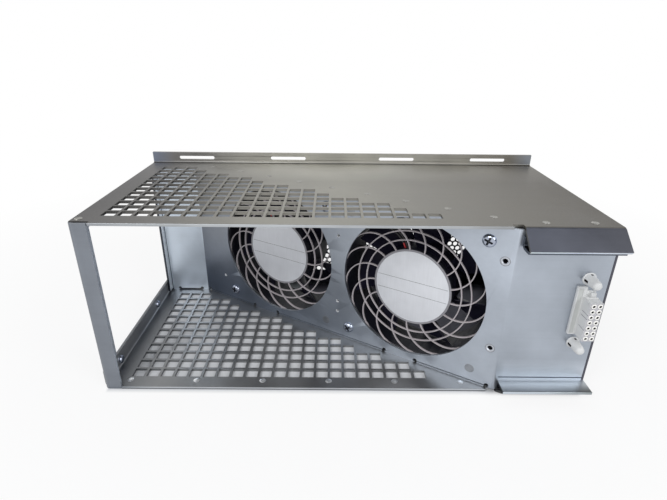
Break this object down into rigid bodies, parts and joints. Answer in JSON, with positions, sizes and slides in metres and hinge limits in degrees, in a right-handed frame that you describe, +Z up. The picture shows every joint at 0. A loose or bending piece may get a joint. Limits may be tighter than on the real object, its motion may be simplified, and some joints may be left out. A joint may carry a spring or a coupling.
{
  "type": "server fan tray",
  "caption": "Bent-sheet fan tray for a rack server: axial fans with spiral guards on a slanted plate between perforated plates, with a blind-mate connector nose.",
  "frame": {"origin": "under the middle of the whole outline, on the plane of the bottom plate's underside", "axes": "+X across the tray towards the connector nose, +Y from the connector side to the slotted lip, +Z up"},
  "size_m": [0.3558, 0.188, 0.1423],
  "materials": {
    "zinc_sheet": "zinc-plated sheet, satin",
    "fastener_zinc": "bright zinc",
    "connector_plastic": "moulded off-white",
    "contact_metal": "plated contacts",
    "frame_plastic": "moulded black",
    "guard_plastic": "moulded light grey",
    "impeller_plastic": "moulded black",
    "label_film": "bare silver label",
    "motor_steel": "ground steel",
    "tube_brass": "turned",
    "coil_copper": "enamelled winding",
    "board_laminate": "solder mask",
    "lead_insulation": "insulated leads",
    "magnet_ferrite": "bonded ferrite"
  },
  "bodies": {
    "tray": {"top_plate": "zinc_sheet", "bottom_plate": "zinc_sheet", "fan_plate": "zinc_sheet", "left_post": "zinc_sheet", "right_side_panel": "zinc_sheet", "lower_ledge": "zinc_sheet", "upper_ledge": "zinc_sheet", "front_cover": "zinc_sheet", "intake_screen": "zinc_sheet", "top_rivets": "fastener_zinc", "floor_rivets": "fastener_zinc", "fan_screws": "fastener_zinc", "fan_studs": "fastener_zinc", "clinch_nuts": "fastener_zinc", "rail_screws": "fastener_zinc", "connector_housing": "connector_plastic", "connector_contacts": "contact_metal", "guide_pegs": "connector_plastic", "fan_frame_right": "frame_plastic", "fan_guard_right": "guard_plastic", "fan_label_right": "label_film", "bearing_tube_right": "tube_brass", "bearing_rear_right": "motor_steel", "bearing_front_right": "motor_steel", "spring_washer_right": "motor_steel", "stator_core_right": "motor_steel", "stator_coils_right": "coil_copper", "circuit_board_right": "board_laminate", "lead_wires_right": "lead_insulation", "fan_frame_left": "frame_plastic", "fan_guard_left": "guard_plastic", "fan_label_left": "label_film", "bearing_tube_left": "tube_brass", "bearing_rear_left": "motor_steel", "bearing_front_left": "motor_steel", "spring_washer_left": "motor_steel", "stator_core_left": "motor_steel", "stator_coils_left": "coil_copper", "circuit_board_left": "board_laminate", "lead_wires_left": "lead_insulation"},
    "rotor_right": {"impeller_right": "impeller_plastic", "rotor_yoke_right": "motor_steel", "magnet_ring_right": "magnet_ferrite", "shaft_right": "motor_steel", "retaining_clip_right": "motor_steel"},
    "rotor_left": {"impeller_left": "impeller_plastic", "rotor_yoke_left": "motor_steel", "magnet_ring_left": "magnet_ferrite", "shaft_left": "motor_steel", "retaining_clip_left": "motor_steel"}
  },
  "joints": [
    {"name": "fan_spin_right", "type": "hinge", "parent": "tray", "child": "rotor_right", "pos_m": [0.05168, -0.04161, 0.06625], "axis": [0.5158, 0.8567, 0], "continuous": true},
    {"name": "fan_spin_left", "type": "hinge", "parent": "tray", "child": "rotor_left", "pos_m": [-0.05763, 0.0242, 0.06625], "axis": [0.5158, 0.8567, 0], "continuous": true}
  ]
}
